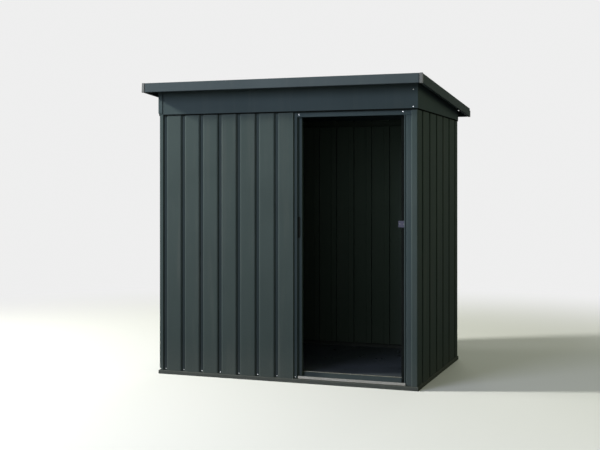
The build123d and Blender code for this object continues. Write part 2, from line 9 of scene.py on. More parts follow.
import bmesh
import bpy
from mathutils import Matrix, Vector


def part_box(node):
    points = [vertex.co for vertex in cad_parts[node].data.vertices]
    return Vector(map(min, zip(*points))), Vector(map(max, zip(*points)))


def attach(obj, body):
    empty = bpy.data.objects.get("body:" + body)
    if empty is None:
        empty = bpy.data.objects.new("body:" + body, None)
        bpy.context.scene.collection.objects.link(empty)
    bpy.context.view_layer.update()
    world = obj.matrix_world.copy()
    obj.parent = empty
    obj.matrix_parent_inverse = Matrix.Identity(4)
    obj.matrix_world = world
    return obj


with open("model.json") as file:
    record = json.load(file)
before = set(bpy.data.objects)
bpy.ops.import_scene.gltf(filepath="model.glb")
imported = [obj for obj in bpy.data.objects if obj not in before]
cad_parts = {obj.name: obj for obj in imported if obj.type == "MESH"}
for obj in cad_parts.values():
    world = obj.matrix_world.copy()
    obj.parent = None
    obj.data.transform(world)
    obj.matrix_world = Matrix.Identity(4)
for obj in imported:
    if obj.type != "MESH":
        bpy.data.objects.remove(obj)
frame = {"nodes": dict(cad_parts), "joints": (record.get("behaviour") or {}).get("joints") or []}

log = logging.getLogger("tool_shed")
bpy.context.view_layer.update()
Point = tuple[float, float, float]
Colour = Point
Node, Tree, Socket = bpy.types.Node, bpy.types.NodeTree, bpy.types.NodeSocket
Sockets = bpy.types.NodeOutputs
Material, Mesh, Object = bpy.types.Material, bpy.types.Mesh, bpy.types.Object


class Body(Enum):
    """The moving bodies of the shed."""

    SHED = "shed"
    DOOR = "door"


class Side(Enum):
    """A wall, with the turn of its own frame about Z, in degrees."""

    FRONT = 0
    RIGHT = 90
    BACK = 180
    LEFT = 270


def low_of(node: str) -> Vector:
    """Return the low corner of a piece's box."""
    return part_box(node)[0]


def high_of(node: str) -> Vector:
    """Return the high corner of a piece's box."""
    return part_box(node)[1]


@dataclass(frozen=True)
class Plan:
    """Places of the shed that its dressing follows, in metres, from the boxes of the construction."""

    sheet: float = 0.001
    left: float = low_of("corner_post_front_left").x
    right: float = high_of("corner_post_back_right").x
    front: float = low_of("corner_post_front_left").y
    back: float = high_of("corner_post_back_right").y
    base_ledge: float = high_of("base_rail_door").z
    groove_depth: float = high_of("front_wall").y - low_of("front_wall").y - sheet
    header_foot: float = low_of("header_front").z
    header_face: float = low_of("header_front").y - front
    frame_face: float = low_of("door_frame_stile").y - front
    roof_front: float = low_of("roof_sheet_middle").y
    roof_back: float = high_of("roof_sheet_middle").y
    roof_top: float = high_of("roof_sheet_middle").z
    roof_fall: float = high_of("corner_post_front_right").z - high_of("corner_post_back_right").z
    roof_slope: float = math.atan(roof_fall / (low_of("corner_post_back_right").y - front))

    @property
    def width(self) -> float:
        """Return the width over the corner posts."""
        return self.right - self.left

    @property
    def depth(self) -> float:
        """Return the depth over the corner posts."""
        return self.back - self.front

    @property
    def roof_run(self) -> float:
        """Return the length of the roof sheets down the slope."""
        return (self.roof_back - self.roof_front) / math.cos(self.roof_slope)


PLAN = Plan()
RIGHTWARD = Vector((1, 0, 0))
BACKWARD = Vector((0, 1, 0))
UP = Vector((0, 0, 1))
ROOF_DOWN = Vector((0, math.cos(PLAN.roof_slope), -math.sin(PLAN.roof_slope)))
ROOF_FACING = Vector((0, math.sin(PLAN.roof_slope), math.cos(PLAN.roof_slope)))


def wall_facing(side: Side) -> Vector:
    """Return the outward direction of a wall."""
    turn = math.radians(side.value)
    return Vector((math.sin(turn), -math.cos(turn), 0))


def wall_run(side: Side) -> Vector:
    """Return the direction from a wall's left corner to its right one."""
    turn = math.radians(side.value)
    return Vector((math.cos(turn), math.sin(turn), 0))


def wall_length(side: Side) -> float:
    """Return the length of a wall over its corner posts."""
    return PLAN.width if side in (Side.FRONT, Side.BACK) else PLAN.depth


def wall_point(side: Side, along: float, inward: float, height: float) -> Vector:
    """Turn a place on a wall into a place in the shed's frame.

    Args:
        side: The wall.
        along: Distance from the wall's left corner, as seen from outside.
        inward: Depth behind the wall's outer face.
        height: Height above the ground.

    Returns:
        The point in the shed's frame.
    """
    x = PLAN.left if side in (Side.FRONT, Side.LEFT) else PLAN.right
    y = PLAN.front if side in (Side.FRONT, Side.RIGHT) else PLAN.back
    return Vector((x, y, height)) + wall_run(side) * along - wall_facing(side) * inward


def roof_point(across: float, down: float, rise: float = 0.0) -> Vector:
    """Turn a place on the roof into a place in the shed's frame.

    Args:
        across: Distance right of the middle.
        down: Distance down the slope from the sheets' front edge.
        rise: Distance above the tops of the ribs.

    Returns:
        The point in the shed's frame.
    """
    edge = Vector((across, PLAN.roof_front, PLAN.roof_top))
    return edge + ROOF_DOWN * down + ROOF_FACING * rise


def placed(name: str, data: bpy.types.ID) -> Object:
    """Put a mesh, a lamp or a camera in the scene.

    Args:
        name: The name of its object.
        data: The mesh, lamp or camera.

    Returns:
        Its object.
    """
    obj = bpy.data.objects.new(name, data)
    bpy.context.scene.collection.objects.link(obj)
    return obj


class Graph:
    """Adds nodes to one node tree and joins them. A node given as a value is its first output."""

    COLOUR_A = 6
    COLOUR_B = 7
    COLOUR_RESULT = 2

    def __init__(self, tree: Tree) -> None:
        """Work on a node tree."""
        self.tree = tree

    def feed(self, node: Node, inputs: dict[str | int, object]) -> None:
        """Give a node its inputs.

        Args:
            node: The node.
            inputs: Value, output socket or node for each input.
        """
        for name, value in inputs.items():
            socket = node.inputs[name]
            if isinstance(value, (Node, Socket)):
                self.tree.links.new(value.outputs[0] if isinstance(value, Node) else value, socket)
            else:
                socket.default_value = (*value, 1.0) if socket.type == "RGBA" else value

    def add(self, kind: str, inputs: dict[str | int, object] | None = None, **settings: object) -> Node:
        """Add one node.

        Args:
            kind: The node's type name.
            inputs: Value, output socket or node for each input.
            settings: Properties of the node.

        Returns:
            The new node.
        """
        node = self.tree.nodes.new(kind)
        for name, value in settings.items():
            setattr(node, name, value)
        self.feed(node, inputs or {})
        return node

    def math(self, operation: str, *values: object, clamp: bool = False) -> Node:
        """Add one Math node."""
        return self.add("ShaderNodeMath", dict(enumerate(values)), operation=operation, use_clamp=clamp)

    def fit(self, value: object, low: float, high: float, to_low: float = 0, to_high: float = 1) -> Node:
        """Map a value smoothly from one range to another."""
        inputs = {"Value": value, "From Min": low, "From Max": high, "To Min": to_low, "To Max": to_high}
        return self.add("ShaderNodeMapRange", inputs, interpolation_type="SMOOTHSTEP")

    def mix(self, factor: object, first: object, second: object) -> Socket:
        """Return a mix of two colours."""
        inputs = {"Factor": factor, self.COLOUR_A: first, self.COLOUR_B: second}
        return self.add("ShaderNodeMix", inputs, data_type="RGBA").outputs[self.COLOUR_RESULT]

    def noise(self, vector: object, scale: object, detail: float, roughness: float) -> Node:
        """Add a noise at a vector."""
        inputs = {"Vector": vector, "Scale": scale, "Detail": detail, "Roughness": roughness}
        return self.add("ShaderNodeTexNoise", inputs)

    def stretched(self, vector: object, scale: Point) -> Node:
        """Scale each axis of a vector by itself."""
        return self.add("ShaderNodeMapping", {"Vector": vector, "Scale": scale})

    def group(self, tree: Tree, inputs: dict[str, object]) -> Node:
        """Place a shared effect with its own values."""
        return self.add("ShaderNodeGroup", inputs, node_tree=tree)


class Effects:
    """Shared surface effects, each a node group that is built once."""

    @staticmethod
    def start(name: str, inputs: dict[str, float], outputs: tuple[str, ...]) -> tuple[Graph, Sockets, Node]:
        """Open a new group.

        Args:
            name: The group's name.
            inputs: Its number inputs and their usual values, beside a Vector input.
            outputs: Its number outputs.

        Returns:
            The group's graph, its input values by name, and the node that takes its results.
        """
        tree = bpy.data.node_groups.new(name, "ShaderNodeTree")
        tree.interface.new_socket("Vector", in_out="INPUT", socket_type="NodeSocketVector")
        for key, value in inputs.items():
            socket = tree.interface.new_socket(key, in_out="INPUT", socket_type="NodeSocketFloat")
            socket.default_value = value
        for key in outputs:
            tree.interface.new_socket(key, in_out="OUTPUT", socket_type="NodeSocketFloat")
        return Graph(tree), tree.nodes.new("NodeGroupInput").outputs, tree.nodes.new("NodeGroupOutput")

    @staticmethod
    @cache
    def coat_skin() -> Tree:
        """Build the fine orange-peel skin of a baked powder coat.

        Returns:
            The group.
        """
        graph, given, sink = Effects.start("coat_skin", {"Scale": 900.0}, ("Height",))
        peel = graph.noise(given["Vector"], scale=given["Scale"], detail=1.5, roughness=0.5)
        slow = graph.math("MULTIPLY", given["Scale"], 0.035)
        wave = graph.noise(given["Vector"], scale=slow, detail=1.0, roughness=0.5)
        graph.feed(sink, {"Height": graph.math("MULTIPLY_ADD", wave, 1.6, peel)})
        return graph.tree

    @staticmethod
    @cache
    def weather() -> Tree:
        """Build the marks of weather: rain streaks, dust near the ground and soft patches, with a
        painted-shade mask that grows towards the bottom.

        Returns:
            The group.
        """
        graph, given, sink = Effects.start(
            "weather", {"Dust Height": 0.25, "Streak Scale": 18.0}, ("Streaks", "Dust", "Patches", "Painted Low Shade"))
        place = given["Vector"]
        height = graph.add("ShaderNodeSeparateXYZ", {"Vector": place}).outputs["Z"]
        tall = graph.stretched(place, (1.0, 1.0, 0.06))
        streak = graph.noise(tall, scale=given["Streak Scale"], detail=4.0, roughness=0.6)
        ragged = graph.noise(place, scale=26.0, detail=4.0, roughness=0.65)
        level = graph.math("DIVIDE", graph.math("MULTIPLY_ADD", ragged, 0.12, height), given["Dust Height"])
        low = graph.fit(level, 0.15, 1.15, 1.0, 0.0)
        cloud = graph.noise(place, scale=3.1, detail=3.0, roughness=0.55)
        risen = graph.math("MULTIPLY_ADD", cloud, 0.3, height)
        graph.feed(sink, {
            "Streaks": graph.fit(streak, 0.48, 0.74),
            "Dust": graph.math("MULTIPLY", low, graph.noise(place, scale=160.0, detail=3.0, roughness=0.7)),
            "Patches": graph.fit(graph.noise(place, scale=2.3, detail=3.0, roughness=0.5), 0.3, 0.7),
            # Painted shade: 1 near the ground, fading to 0 high up, so that surfaces darken towards the
            # bottom.
            "Painted Low Shade": graph.fit(risen, 0.1, 1.9, 1.0, 0.0),
        })
        return graph.tree

    @staticmethod
    @cache
    def drawn_lines() -> Tree:
        """Build fine lines and scuffs, drawn out along the axis that the vector is squeezed on.

        Returns:
            The group.
        """
        graph, given, sink = Effects.start("drawn_lines", {"Fineness": 1400.0}, ("Lines", "Scuffs"))
        lines = graph.noise(given["Vector"], scale=given["Fineness"], detail=2.0, roughness=0.6)
        scuffs = graph.noise(given["Vector"], scale=55.0, detail=5.0, roughness=0.7)
        graph.feed(sink, {"Lines": lines, "Scuffs": graph.fit(scuffs, 0.5, 0.72)})
        return graph.tree

    @staticmethod
    @cache
    def sheet_waves() -> Tree:
        """Build the slow waves that thin sheet keeps between its ribs.

        Returns:
            The group.
        """
        graph, given, sink = Effects.start("sheet_waves", {"Scale": 3.4}, ("Height",))
        place = graph.stretched(given["Vector"], (1.0, 1.0, 0.55))
        broad = graph.noise(place, scale=given["Scale"], detail=1.0, roughness=0.4)
        quick = graph.math("MULTIPLY", given["Scale"], 2.7)
        small = graph.noise(place, scale=quick, detail=1.0, roughness=0.4)
        graph.feed(sink, {"Height": graph.math("MULTIPLY_ADD", small, 0.3, broad)})
        return graph.tree


def shade(colour: Colour, factor: float, lift: float = 0.0) -> Colour:
    """Return a colour made lighter or darker, with a little white lifted into it."""
    return tuple(min(1.0, part * factor + lift) for part in colour)


def open_material(name: str) -> tuple[Material, Graph, Node, Socket]:
    """Start a material.

    Args:
        name: The material's name.

    Returns:
        The material, its graph, its Principled shader and the object coordinates.
    """
    material = bpy.data.materials.new(name)
    material.use_nodes = True
    graph = Graph(material.node_tree)
    place = graph.add("ShaderNodeTexCoord").outputs["Object"]
    return material, graph, material.node_tree.nodes["Principled BSDF"], place


def bump(graph: Graph, shader: Node, height: object, strength: float, distance: float) -> None:
    """Give a shader a relief, on top of any that it has.

    Args:
        graph: The material's graph.
        shader: The shader.
        height: The relief's height.
        strength: How much of it shows.
        distance: Depth of the relief in metres.
    """
    node = graph.add("ShaderNodeBump", {"Height": height, "Strength": strength, "Distance": distance})
    for link in shader.inputs["Normal"].links:
        graph.feed(node, {"Normal": link.from_socket})
    graph.feed(shader, {"Normal": node})


@dataclass(frozen=True)
class CoatedSteel:
    """Baked coat on rolled sheet steel, weathered a little, with painted shade low down and on the groove
    flanks, and a backing coat inside that is made paler as painted light.
    """

    name: str
    colour: Colour
    roughness: float = 0.66
    specular: float = 0.003
    rolling: Point = (1.0, 1.0, 0.012)
    waves: float = 0.0
    inside: Point | None = None
    # The backing coat's colour, paler than the real backing as painted light on the inside.
    backing_with_painted_light: Colour = (0.084, 0.110, 0.090)
    dust_colour: Colour = (0.15, 0.145, 0.13)
    dust_height: float = 0.3
    dust: float = 0.18
    streaks: float = 0.08
    # Share of painted shade at the bottom of the coat.
    painted_low_shade: float = 0.55
    # Share of painted shade low down on the backing coat inside.
    inside_painted_shade: float = 0.65
    # Share of painted shade on the flanks of the grooves.
    painted_flank_shade: float = 0.0
    cloud_shades: tuple[float, float] = (0.96, 1.05)
    cloud_lift: float = 0.001
    painted_low_shade_tone: float = 0.5
    scuff_shade: float = 0.9
    inside_painted_shade_tone: float = 0.4
    flank_shade: float = 0.3
    inside_facing: tuple[float, float] = (0.55, 0.9)
    flank_facing: tuple[float, float] = (0.7, 0.95)
    skin_scale: float = 900.0
    line_fineness: float = 420.0
    line_share: float = 0.7
    streak_scale: float = 18.0
    wave_scale: float = 3.4
    patch_rough: tuple[float, float] = (-0.02, 0.03)
    scuff_rough: float = 0.04
    dust_rough: float = 0.3
    relief: float = 0.12
    relief_depth: float = 0.0004

    def material(self) -> Material:
        """Build the finish.

        Returns:
            The material.
        """
        material, graph, shader, place = open_material(self.name)
        skin = graph.group(Effects.coat_skin(), {"Vector": place, "Scale": self.skin_scale})
        rolled = graph.stretched(place, self.rolling)
        lines = graph.group(Effects.drawn_lines(), {
            "Vector": rolled, "Fineness": self.line_fineness}).outputs
        marks = graph.group(Effects.weather(), {
            "Vector": place, "Dust Height": self.dust_height, "Streak Scale": self.streak_scale}).outputs
        smooth, dull = (self.roughness + change for change in self.patch_rough)
        rough = graph.fit(marks["Patches"], 0.0, 1.0, smooth, dull)
        rough = graph.math("MULTIPLY_ADD", lines["Scuffs"], self.scuff_rough, rough)
        rough = graph.math("MULTIPLY_ADD", marks["Dust"], self.dust_rough, rough, clamp=True)
        coat = self.coat(graph, marks, lines)
        graph.feed(shader, {"Base Color": coat, "Roughness": rough, "Specular IOR Level": self.specular})
        if self.waves:
            wave = graph.group(Effects.sheet_waves(), {"Vector": place, "Scale": self.wave_scale})
            bump(graph, shader, wave, 1.0, self.waves)
        relief = graph.math("MULTIPLY_ADD", lines["Lines"], self.line_share, skin)
        bump(graph, shader, relief, self.relief, self.relief_depth)
        return material

    def coat(self, graph: Graph, marks: Sockets, lines: Sockets) -> Socket:
        """Mix the coat's colour.

        Args:
            graph: The material's graph.
            marks: The marks of weather, by name.
            lines: The lines that rolling leaves, by name.

        Returns:
            The colour of the coat, or of the backing coat on the inside, with painted shade and painted
            light mixed in.
        """
        darker, lighter = self.cloud_shades
        light = shade(self.colour, lighter, self.cloud_lift)
        base = graph.mix(marks["Patches"], shade(self.colour, darker), light)
        # Painted shade: the coat is darkened towards the bottom.
        painted_low_shade = graph.math("MULTIPLY", marks["Painted Low Shade"], self.painted_low_shade)
        base = graph.mix(painted_low_shade, base, shade(self.colour, self.painted_low_shade_tone))
        if self.inside:
            facing = graph.add("ShaderNodeNewGeometry").outputs["Normal"]
            dot = graph.add("ShaderNodeVectorMath", {0: facing, 1: self.inside}, operation="DOT_PRODUCT")
            inward = dot.outputs["Value"]
            # Backing coat with real scuffs; its paleness is painted light.
            backing_tone_and_shade = graph.mix(lines["Scuffs"], self.backing_with_painted_light, shade(self.backing_with_painted_light, self.scuff_shade))
            # Painted shade: the backing coat inside darkens towards the bottom.
            inside_painted_shade = graph.math("MULTIPLY", marks["Painted Low Shade"], self.inside_painted_shade)
            backing_tone_and_shade = graph.mix(inside_painted_shade, backing_tone_and_shade, shade(self.backing_with_painted_light, self.inside_painted_shade_tone))
            base = graph.mix(graph.fit(inward, *self.inside_facing), base, backing_tone_and_shade)
            # Painted shade: groove flanks, facing neither in nor out, are darkened.
            flank_shade_mask = graph.fit(graph.math("ABSOLUTE", inward), *self.flank_facing, self.painted_flank_shade, 0.0)
            base = graph.mix(flank_shade_mask, base, shade(self.colour, self.flank_shade))
        streaked = graph.mix(graph.math("MULTIPLY", marks["Streaks"], self.streaks), base, self.dust_colour)
        dusty = graph.math("MULTIPLY", marks["Dust"], self.dust, clamp=True)
        return graph.mix(dusty, streaked, self.dust_colour)


@dataclass(frozen=True)
class BareMetal:
    """Bright or galvanised metal without a coat."""

    name: str
    colour: Colour
    roughness: float
    scuffs: float = 0.25
    relief: float = 0.1
    relief_depth: float = 0.0003
    worn_shade: float = 0.55
    drawn: Point = (0.01, 1.0, 1.0)
    fineness: float = 1400.0
    line_rough: tuple[float, float] = (-0.08, 0.1)

    def material(self) -> Material:
        """Build the finish.

        Returns:
            The material.
        """
        material, graph, shader, place = open_material(self.name)
        along = graph.stretched(place, self.drawn)
        lines = graph.group(Effects.drawn_lines(), {"Vector": along, "Fineness": self.fineness}).outputs
        worn = graph.math("MULTIPLY", lines["Scuffs"], self.scuffs)
        smooth, dull = (self.roughness + change for change in self.line_rough)
        graph.feed(shader, {
            "Base Color": graph.mix(worn, self.colour, shade(self.colour, self.worn_shade)),
            "Roughness": graph.fit(lines["Lines"], 0.2, 0.8, smooth, dull),
            "Metallic": 1.0,
        })
        bump(graph, shader, lines["Lines"], self.relief, self.relief_depth)
        return material


@dataclass(frozen=True)
class Galvanised:
    """Zinc-dipped steel with its crystal pattern."""

    name: str
    colour: Colour = (0.42, 0.43, 0.44)
    crystals: float = 70.0
    bright_shade: float = 1.25
    rough: tuple[float, float] = (0.38, 0.55)
    relief: float = 0.08
    relief_depth: float = 0.0003

    def material(self) -> Material:
        """Build the finish.

        Returns:
            The material.
        """
        material, graph, shader, place = open_material(self.name)
        cells = graph.add("ShaderNodeTexVoronoi", {"Vector": place, "Scale": self.crystals})
        tone = graph.add("ShaderNodeSeparateColor", {"Color": cells.outputs["Color"]})
        graph.feed(shader, {
            "Base Color": graph.mix(tone, self.colour, shade(self.colour, self.bright_shade)),
            "Roughness": graph.fit(tone, 0.0, 1.0, *self.rough),
            "Metallic": 1.0,
        })
        bump(graph, shader, tone, self.relief, self.relief_depth)
        return material


@dataclass(frozen=True)
class Plastic:
    """Moulded plastic with a fine spark-eroded grain."""

    name: str
    colour: Colour
    roughness: float = 0.5
    specular: float = 0.3
    patch_rough: tuple[float, float] = (-0.06, 0.08)
    relief: float = 0.15
    relief_depth: float = 0.0003

    def material(self) -> Material:
        """Build the finish.

        Returns:
            The material.
        """
        material, graph, shader, place = open_material(self.name)
        patch = graph.noise(place, scale=9.0, detail=3.0, roughness=0.5)
        smooth, dull = (self.roughness + change for change in self.patch_rough)
        graph.feed(shader, {
            "Base Color": graph.mix(patch, self.colour, shade(self.colour, 1.3, 0.004)),
            "Roughness": graph.fit(patch, 0.2, 0.8, smooth, dull),
            "Specular IOR Level": self.specular,
        })
        grain = graph.noise(place, scale=1800.0, detail=2.0, roughness=0.6)
        bump(graph, shader, grain, self.relief, self.relief_depth)
        return material


@dataclass(frozen=True)
class FloorSheet:
    """Smooth slate-grey floor board, scuffed by feet."""

    name: str
    colour: Colour = (0.038, 0.045, 0.056)
    scuffed: Colour = (0.12, 0.12, 0.115)
    scuffs: float = 0.35
    rough: tuple[float, float] = (0.26, 0.36)
    scuff_rough: float = 0.22
    relief: float = 0.08
    relief_depth: float = 0.0004

    def material(self) -> Material:
        """Build the finish.

        Returns:
            The material.
        """
        material, graph, shader, place = open_material(self.name)
        cloud = graph.noise(place, scale=5.0, detail=5.0, roughness=0.6)
        across = graph.stretched(place, (1.0, 3.0, 1.0))
        scuff = graph.fit(graph.noise(across, scale=38.0, detail=6.0, roughness=0.75), 0.52, 0.78)
        base = graph.mix(graph.fit(cloud, 0.3, 0.7), self.colour, shade(self.colour, 1.5, 0.003))
        smooth = graph.fit(cloud, 0.3, 0.7, *self.rough)
        graph.feed(shader, {
            "Base Color": graph.mix(graph.math("MULTIPLY", scuff, self.scuffs), base, self.scuffed),
            "Roughness": graph.math("MULTIPLY_ADD", scuff, self.scuff_rough, smooth),
        })
        grain = graph.noise(place, scale=700.0, detail=2.0, roughness=0.5)
        bump(graph, shader, grain, self.relief, self.relief_depth)
        return material


LEVEL = (0.012, 0.012, 1.0)
WALL_COAT = (0.047, 0.062, 0.062)
SATIN = 0.62


def wall_coat(name: str, inside: Point, painted_flank_shade: float = 0.75) -> CoatedSteel:
    """Return the coat of a wall sheet, whose backing coat faces a direction and whose groove flanks get
    painted shade.
    """
    return CoatedSteel(name, WALL_COAT, waves=0.003, inside=inside, painted_flank_shade=painted_flank_shade)


def made(look: CoatedSteel | BareMetal | Galvanised | Plastic | FloorSheet, *starts: str) -> Material:
    """Return a field that builds a finish, for the carried-over pieces whose names start so."""
    return field(default_factory=look.material, metadata={"starts": starts})


@dataclass
class Finishes:
    """Every finish of the shed, built once."""

    front: Material = made(wall_coat("coat_front", (0, 1, 0), 0.0), "front_wall", "door_panel")
    right: Material = made(wall_coat("coat_right", (-1, 0, 0)), "right_wall")
    back: Material = made(wall_coat("coat_back", (0, -1, 0)), "back_wall")
    left: Material = made(wall_coat("coat_left", (1, 0, 0)), "left_wall")
    # trim, post, header, fascia and base are one anthracite coat; their colours differ as painted light and
    # painted shade for how light falls on each part: the fascia lighter, the header and base darker.
    trim: Material = made(
        CoatedSteel("coat_trim", (0.047, 0.065, 0.070), SATIN, streaks=0.06), "header_corner_cap")
    post: Material = made(
        CoatedSteel("coat_post", (0.048, 0.065, 0.066), SATIN, streaks=0.06), "corner_post")
    header: Material = made(CoatedSteel(
        "coat_header", (0.044, 0.060, 0.064), SATIN, rolling=LEVEL, waves=0.002, streaks=0.05), "header")
    fascia: Material = made(CoatedSteel(
        "coat_fascia", (0.053, 0.067, 0.075), SATIN, rolling=LEVEL, streaks=0.05), "roof_fascia")
    inner: Material = made(
        CoatedSteel("coat_inner", (0.064, 0.082, 0.068), rolling=LEVEL, dust=0.1), "top_rails")
    roof: Material = made(CoatedSteel(
        "coat_roof", (0.036, 0.047, 0.050), 0.6, rolling=(1.0, 0.012, 1.0), waves=0.002, inside=(0, 0, -1),
        dust_height=0.01, streaks=0.12), "roof_sheet")
    base: Material = made(CoatedSteel(
        "coat_base", (0.037, 0.044, 0.043), SATIN, rolling=LEVEL, dust=0.3, painted_low_shade=0.0), "base_rail")
    strip: Material = made(BareMetal("bright_strip", (0.24, 0.235, 0.222), 0.34), "threshold_strip")
    nosing: Material = made(BareMetal("floor_nosing", (0.17, 0.17, 0.14), 0.45))
    keeper: Material = made(BareMetal("keeper_zinc", (0.042, 0.043, 0.060), 0.55, 0.1), "lock_keeper")
    zinc: Material = made(Galvanised("galvanised"), "door_hangers", "floor_joists", "roof_beams")
    floor: Material = made(FloorSheet("floor_sheet"), "floor_panels")
    black: Material = made(
        Plastic("black_plastic", (0.005, 0.0065, 0.006), 0.6, 0.1), "door_handle", "door_guides")
    rubber: Material = made(Plastic("black_rubber", (0.0035, 0.0045, 0.0045), 0.8, 0.0))
    corner: Material = made(Plastic("corner_plastic", (0.066, 0.070, 0.070)), "roof_corners")
    nylon: Material = made(Plastic("nylon", (0.72, 0.72, 0.68), 0.4), "door_rollers")
    screw: Material = made(BareMetal("screw_zinc", (0.90, 0.90, 0.90), 0.42, 0.1, 0.02))
    dark_screw: Material = made(BareMetal("screw_phosphate", (0.10, 0.10, 0.105), 0.4, 0.1, 0.02))

    def for_node(self, node: str) -> Material:
        """Find the finish of a carried-over piece.

        Args:
            node: The piece's name.

        Returns:
            The first finish for that name, or else the trim's.
        """
        for finish in fields(self):
            if node.startswith(finish.metadata["starts"]):
                return getattr(self, finish.name)
        return self.trim


def dress(obj: Object, material: Material) -> None:
    """Give an object one material."""
    obj.data.materials.clear()
    obj.data.materials.append(material)


class Dressing(Enum):
    """Kinds of finish that added pieces are labelled with."""

    BARE = "bare_metal"
    COAT = "coated_steel"
    BLACK = "black_plastic"


class HeadShape(Enum):
    """Kinds of screw head."""

    DOME = "dome"
    HEX = "hex"


@dataclass
class RepeatTree:
    """Geometry Nodes tree that sets one small shape on every point, turned to the point's facing."""

    name: str = "repeat"
    sizes: tuple[str, ...] = ()
    lean: float = 0.0

    def shape(self, graph: Graph, given: Sockets) -> Node:
        """Build the shape that is repeated, standing on its origin along Z.

        Args:
            graph: The tree's graph.
            given: The tree's input values.

        Returns:
            The node that puts out the shape.
        """
        raise NotImplementedError

    def build(self) -> Tree:
        """Build the tree.

        Returns:
            The tree.
        """
        tree = bpy.data.node_groups.new(self.name, "GeometryNodeTree")
        sockets = {"Points": "NodeSocketGeometry", **dict.fromkeys(self.sizes, "NodeSocketFloat"),
                   "Seed": "NodeSocketInt", "Finish": "NodeSocketMaterial"}
        for key, kind in sockets.items():
            tree.interface.new_socket(key, in_out="INPUT", socket_type=kind)
        tree.interface.new_socket("Pieces", in_out="OUTPUT", socket_type="NodeSocketGeometry")
        graph = Graph(tree)
        given = tree.nodes.new("NodeGroupInput").outputs
        shape = self.shape(graph, given)
        facing = graph.add("GeometryNodeInputNamedAttribute", {"Name": "facing"}, data_type="FLOAT_VECTOR")
        align = graph.add("FunctionNodeAlignRotationToVector", {"Vector": facing}, axis="Z")
        chance = graph.add("FunctionNodeRandomValue", {
            0: (-self.lean, -self.lean, 0), 1: (self.lean, self.lean, math.tau), "Seed": given["Seed"],
        }, data_type="FLOAT_VECTOR")
        turn = graph.add("FunctionNodeEulerToRotation", {"Euler": chance})
        both = graph.add("FunctionNodeRotateRotation", {"Rotation": align, "Rotate By": turn},
                         rotation_space="LOCAL")
        spread = graph.add("GeometryNodeInstanceOnPoints", {
            "Points": given["Points"], "Instance": shape, "Rotation": both})
        real = graph.add("GeometryNodeRealizeInstances", {"Geometry": spread})
        finish = graph.add("GeometryNodeSetMaterial", {"Geometry": real, "Material": given["Finish"]})
        graph.feed(tree.nodes.new("NodeGroupOutput"), {"Pieces": finish})
        return tree


@dataclass
class ScrewTree(RepeatTree):
    """Tree of screw heads, domed or hexagonal, each on its washer."""

    name: str = "screw_heads"
    sizes: tuple[str, ...] = ("Head Radius", "Head Height", "Washer Radius", "Washer Height")
    head: HeadShape = HeadShape.DOME
    sides: int = 12
    rings: int = 6
    hex_sides: int = 6
    hex_taper: float = 0.9

    def shape(self, graph: Graph, given: Sockets) -> Node:
        """Build one washer with its head on top.

        Args:
            graph: The tree's graph.
            given: The tree's input values.

        Returns:
            The node that puts out the screw.
        """
        radius, height, thick = given["Head Radius"], given["Head Height"], given["Washer Height"]
        washer = graph.add("GeometryNodeMeshCylinder", {
            "Vertices": self.sides, "Radius": given["Washer Radius"], "Depth": thick})
        half = graph.add("ShaderNodeCombineXYZ", {"Z": graph.math("MULTIPLY", thick, 0.5)})
        washer = graph.add("GeometryNodeTransform", {"Geometry": washer, "Translation": half})
        lift = graph.add("ShaderNodeCombineXYZ", {"Z": thick})
        if self.head is HeadShape.DOME:
            ball = graph.add("GeometryNodeMeshUVSphere", {
                "Segments": self.sides, "Rings": self.rings, "Radius": radius})
            squash = graph.add("ShaderNodeCombineXYZ", {
                "X": 1.0, "Y": 1.0, "Z": graph.math("DIVIDE", height, radius)})
            dome = graph.add("GeometryNodeTransform", {
                "Geometry": ball, "Translation": lift, "Scale": squash})
            head = graph.add("GeometryNodeSetShadeSmooth", {"Geometry": dome})
        else:
            top = graph.math("MULTIPLY", radius, self.hex_taper)
            nut = graph.add("GeometryNodeMeshCone", {
                "Vertices": self.hex_sides, "Radius Bottom": radius, "Radius Top": top, "Depth": height})
            head = graph.add("GeometryNodeTransform", {"Geometry": nut, "Translation": lift})
        screw = graph.add("GeometryNodeJoinGeometry")
        for part in (washer, head):
            graph.feed(screw, {"Geometry": part})
        return screw


@dataclass
class BristleTree(RepeatTree):
    """Tree of thin tapered bristles that lean a little, each its own way."""

    name: str = "bristles"
    sizes: tuple[str, ...] = ("Length", "Radius")
    lean: float = 0.16
    sides: int = 4
    taper: float = 0.4

    def shape(self, graph: Graph, given: Sockets) -> Node:
        """Build one bristle.

        Args:
            graph: The tree's graph.
            given: The tree's input values.

        Returns:
            The node that puts out the bristle.
        """
        tip = graph.math("MULTIPLY", given["Radius"], self.taper)
        sizes = {"Radius Bottom": given["Radius"], "Radius Top": tip, "Depth": given["Length"]}
        return graph.add("GeometryNodeMeshCone", {"Vertices": self.sides, **sizes})


def screw_size(*sizes: float) -> dict[str, float]:
    """Return a head's radius and height, and its washer's, by the names of the tree's inputs."""
    return dict(zip(ScrewTree.sizes, sizes))


SMALL_SCREW = screw_size(0.0023, 0.0017, 0.0031, 0.0008)
FLUSH_SCREW = screw_size(0.0021, 0.0004, 0.0034, 0.0003)
RAISED_SEAL = screw_size(0.0066, 0.0012, 0.0088, 0.0016)
ROOF_SCREW = screw_size(0.0046, 0.0048, 0.0076, 0.0010)
HANGER_SCREW = screw_size(0.0042, 0.0030, 0.0066, 0.0010)


def seated(mesh: Mesh, name: str, body: Body) -> Object:
    """Put a finished mesh on a body.

    Args:
        mesh: The mesh.
        name: The finished piece's name.
        body: The body that it rides on.

    Returns:
        The finished piece.
    """
    piece = placed(name, mesh)
    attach(piece, body.value)
    return piece


